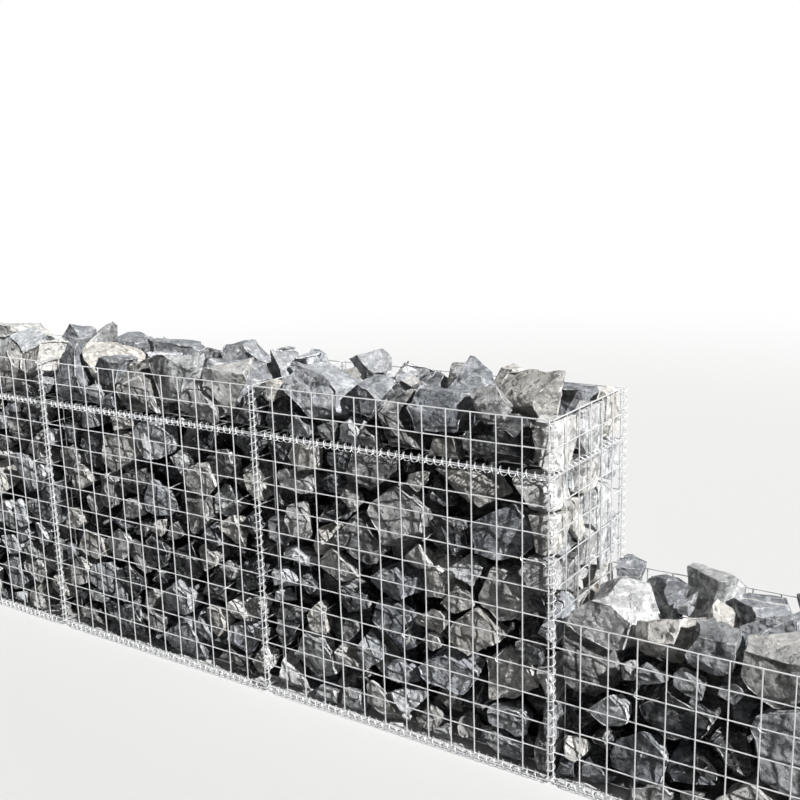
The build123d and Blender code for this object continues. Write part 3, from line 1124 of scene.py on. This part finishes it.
for number in range(len(bayCentres)):
    draw = random.Random(pile["seed"] + number)
    if number < tallBays:
        fillCompartment("lower", number + 1, number, draw)
        fillCompartment("upper", number + 1, number, draw)
    else:
        fillCompartment("low", number - tallBays + 1, number, draw)
print("stones made")


# Floor, backdrop, light and camera
studio = {
    "floorColour": (0.82, 0.82, 0.81),
    "floorSize": 80.0,
    "fadeFrom": 3.5,        # the floor turns into the white backdrop between these distances
    "fadeTo": 10.0,
    "bounceColour": (0.055, 0.055, 0.053),   # the floor as the wall's light meets it
    "fill": 0.019,          # light from all round
    # Strength, then degrees: from +Y towards +X, above the ground, and the lamp's width
    "sun": (4.9, 107.0, 37.0, 1.2),
    "backLamp": (0.85, -60.0, 15.0, 35.0),
}


def seenNode(tree):
    # 1 for what the camera sees, also in a reflection
    path = tree.nodes.new("ShaderNodeLightPath")
    seen = mathNode(tree, "MAXIMUM", path.outputs["Is Camera Ray"], path.outputs["Is Glossy Ray"])
    return mathNode(tree, "MAXIMUM", seen, path.outputs["Is Transmission Ray"])


def makeFloor():
    material, tree, shader, place = startMaterial("pale_floor")
    distance = addNode(tree, "ShaderNodeVectorMath", {"operation": "LENGTH"}, _0=place).outputs["Value"]
    seen = seenNode(tree)
    colour = mixColour(tree, seen, studio["bounceColour"], studio["floorColour"])
    feed(tree, shader, Base_Color=colour, Roughness=0.9)
    fade = rangeNode(tree, distance, studio["fadeFrom"], studio["fadeTo"])
    share = mathNode(tree, "MULTIPLY", fade, seen)
    white = addNode(tree, "ShaderNodeEmission", Strength=1.0).outputs[0]
    mixed = addNode(tree, "ShaderNodeMixShader", _0=share, _1=shader.outputs[0], _2=white)
    output = next(node for node in tree.nodes if node.bl_idname == "ShaderNodeOutputMaterial")
    feed(tree, output, _0=mixed.outputs[0])
    half = studio["floorSize"] / 2
    corners = [(-half, -half, 0), (half, -half, 0), (half, half, 0), (-half, half, 0)]
    mesh = bpy.data.meshes.new("floor")
    mesh.from_pydata(corners, [], [(0, 1, 2, 3)])
    mesh.materials.append(material)
    floor = placed("floor", mesh)


def makeLight():
    world = bpy.data.worlds.new("studio")
    bpy.context.scene.world = world
    world.use_nodes = True
    tree = world.node_tree
    tree.nodes.clear()
    white = (1.0, 1.0, 1.0, 1.0)
    dim = addNode(tree, "ShaderNodeBackground", Color=white, Strength=studio["fill"])
    full = addNode(tree, "ShaderNodeBackground", Color=white, Strength=1.0)
    mixed = addNode(tree, "ShaderNodeMixShader", _0=seenNode(tree), _1=dim.outputs[0], _2=full.outputs[0])
    addNode(tree, "ShaderNodeOutputWorld", _0=mixed.outputs[0])
    hangLamp("sun", *studio["sun"])
    hangLamp("back_lamp", *studio["backLamp"])


def hangLamp(name, strength, turn, height, width):
    # A lamp far away: its light comes from this turn and height
    lamp = bpy.data.lights.new(name, "SUN")
    lamp.energy = strength
    lamp.angle = math.radians(width)
    turn, height = math.radians(turn), math.radians(height)
    level = math.cos(height)
    towards = Vector((math.sin(turn) * level, math.cos(turn) * level, math.sin(height)))
    placed(name, lamp).rotation_euler = towards.to_track_quat("Z", "Y").to_euler()


camera = {
    "place": (2.0742, -2.4922, 1.5914),
    "turn": (77.8843, 1.5498, 33.8442),     # degrees
    "lens": 46.54,
    "sensor": 36.0,
}


def makeCamera():
    eye = placed("camera", bpy.data.cameras.new("camera"))
    eye.data.lens = camera["lens"]
    eye.data.sensor_width = camera["sensor"]
    eye.location = camera["place"]
    eye.rotation_euler = [math.radians(angle) for angle in camera["turn"]]
    bpy.context.scene.camera = eye


makeFloor()
makeLight()
makeCamera()
bpy.context.scene.view_settings.view_transform = "Standard"
print("studio made")
